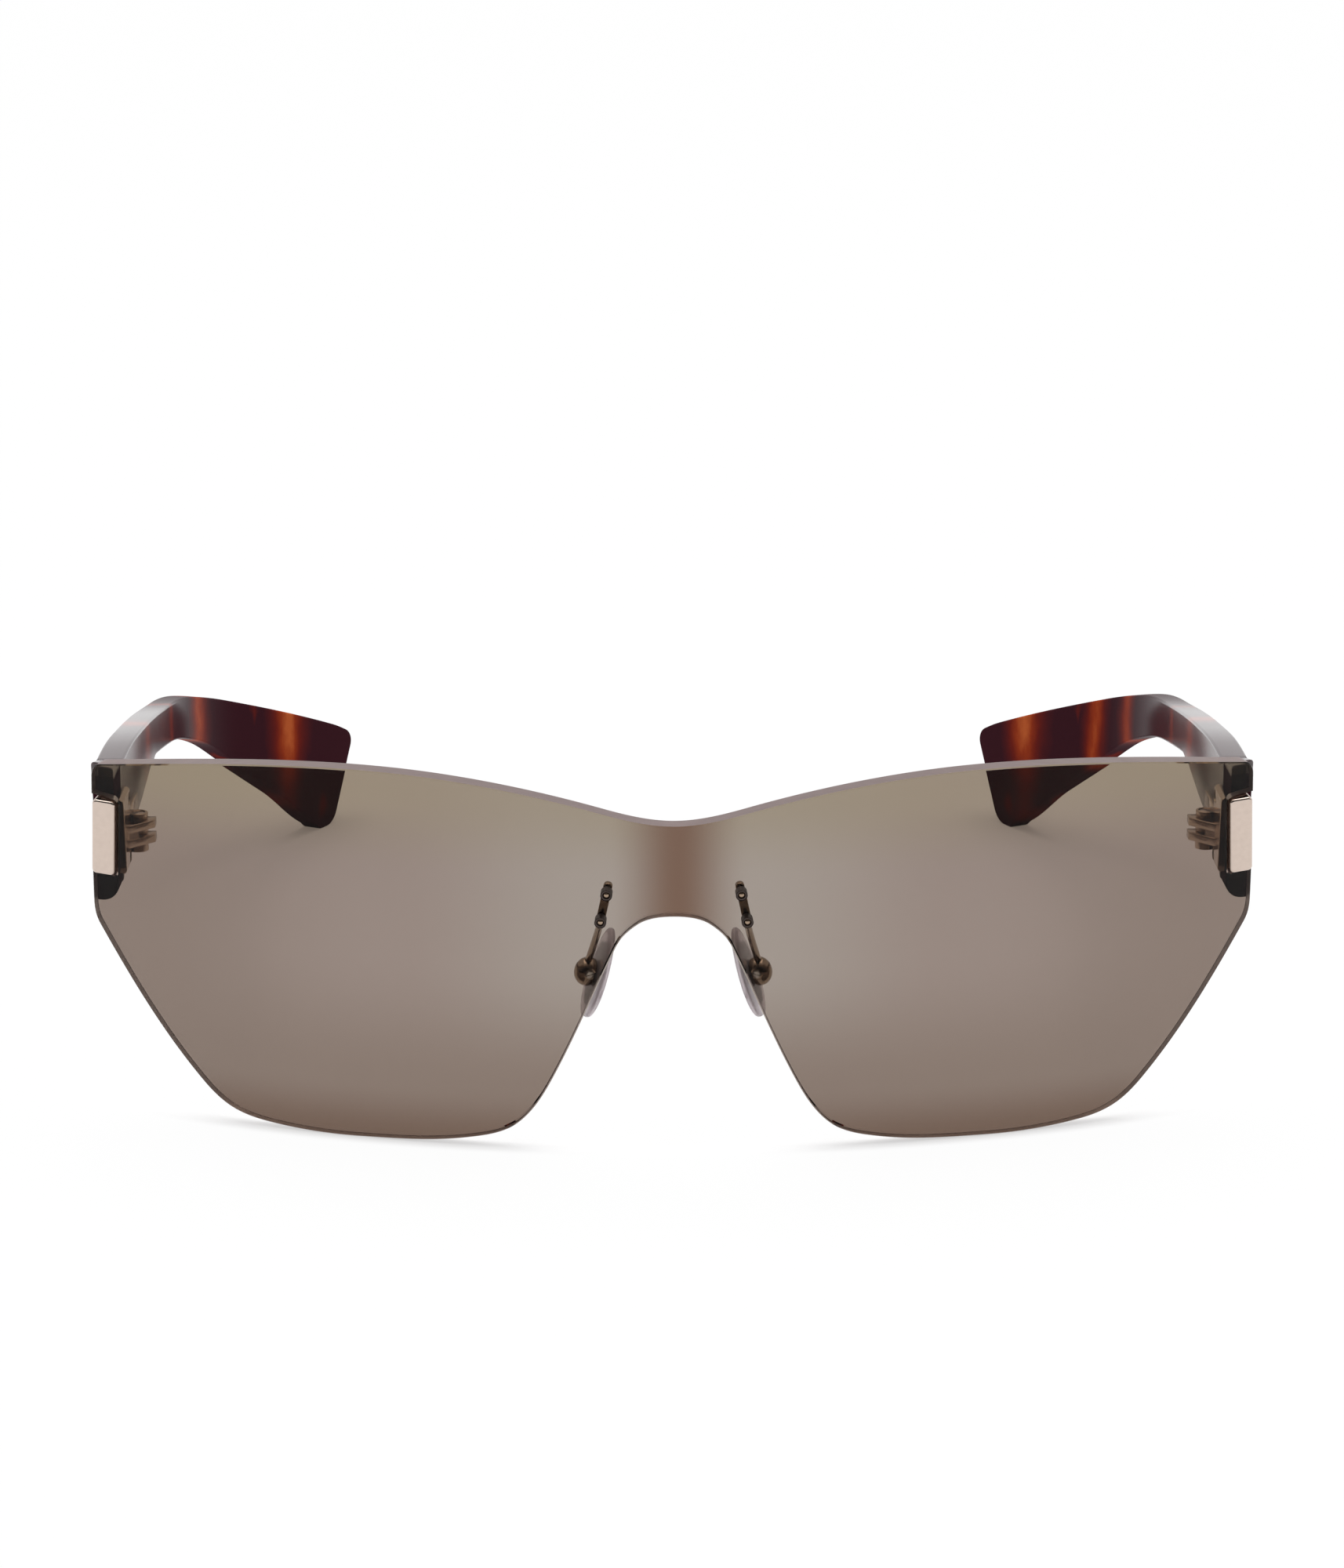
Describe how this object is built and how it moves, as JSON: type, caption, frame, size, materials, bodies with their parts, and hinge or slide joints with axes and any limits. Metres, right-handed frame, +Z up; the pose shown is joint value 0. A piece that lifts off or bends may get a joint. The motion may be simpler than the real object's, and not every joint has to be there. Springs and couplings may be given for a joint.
{
  "type": "sunglasses",
  "caption": "Rimless shield sunglasses: one curved brown lens with a nose arch, metal corner plates, folding tortoiseshell acetate temples and clear nose pads on bent arms.",
  "frame": {"origin": "on the table under the middle of the opened glasses, with the two lens bottoms and the temple tips resting on Z = 0", "axes": "+X across the face towards the right of someone looking at the front, +Y from the lens back towards the temple tips, +Z up"},
  "size_m": [0.1498, 0.1654, 0.0503],
  "materials": {
    "lens_tint": "see-through grey-brown tint, polished",
    "tortoise_acetate": "dark brown acetate with amber bands, polished",
    "pale_gold": "pale gold plating, polished",
    "steel": "bare steel screws, pad inserts and temple cores",
    "clear_silicone": "clear soft silicone",
    "nylon": "milky nylon sleeves"
  },
  "bodies": {
    "front": {"shield_lens": "lens_tint", "left_endpiece": "tortoise_acetate", "left_corner_plate": "pale_gold", "left_hinge_block": "pale_gold", "left_block_screw_lower": "steel", "left_block_screw_upper": "steel", "left_pad_arm": "pale_gold", "left_pad_sleeve_upper": "nylon", "left_pad_sleeve_lower": "nylon", "left_pad_screw": "steel", "right_endpiece": "tortoise_acetate", "right_corner_plate": "pale_gold", "right_hinge_block": "pale_gold", "right_block_screw_lower": "steel", "right_block_screw_upper": "steel", "right_pad_arm": "pale_gold", "right_pad_sleeve_upper": "nylon", "right_pad_sleeve_lower": "nylon", "right_pad_screw": "steel"},
    "left_temple": {"left_temple": "tortoise_acetate", "left_temple_core": "steel", "left_temple_hinge": "pale_gold", "left_hinge_screw": "pale_gold", "left_leaf_screw_front": "steel", "left_leaf_screw_rear": "steel"},
    "left_pad": {"left_nose_pad": "clear_silicone", "left_pad_core": "steel"},
    "right_temple": {"right_temple": "tortoise_acetate", "right_temple_core": "steel", "right_temple_hinge": "pale_gold", "right_hinge_screw": "pale_gold", "right_leaf_screw_front": "steel", "right_leaf_screw_rear": "steel"},
    "right_pad": {"right_nose_pad": "clear_silicone", "right_pad_core": "steel"}
  },
  "joints": [
    {"name": "left_temple_fold", "type": "hinge", "parent": "front", "child": "left_temple", "pos_m": [-0.06745, -0.05483, 0.03605], "axis": [0, 0, -1], "range_deg": [0, 84]},
    {"name": "right_temple_fold", "type": "hinge", "parent": "front", "child": "right_temple", "pos_m": [0.06745, -0.05483, 0.03605], "axis": [0, 0, 1], "range_deg": [0, 76]},
    {"name": "left_pad_rock", "type": "hinge", "parent": "front", "child": "left_pad", "pos_m": [-0.0107, -0.06792, 0.0214], "axis": [-0.2504, 0.9681, 0], "range_deg": [-6, 6]},
    {"name": "right_pad_rock", "type": "hinge", "parent": "front", "child": "right_pad", "pos_m": [0.0107, -0.06792, 0.0214], "axis": [0.2504, 0.9681, 0], "range_deg": [-6, 6]}
  ]
}
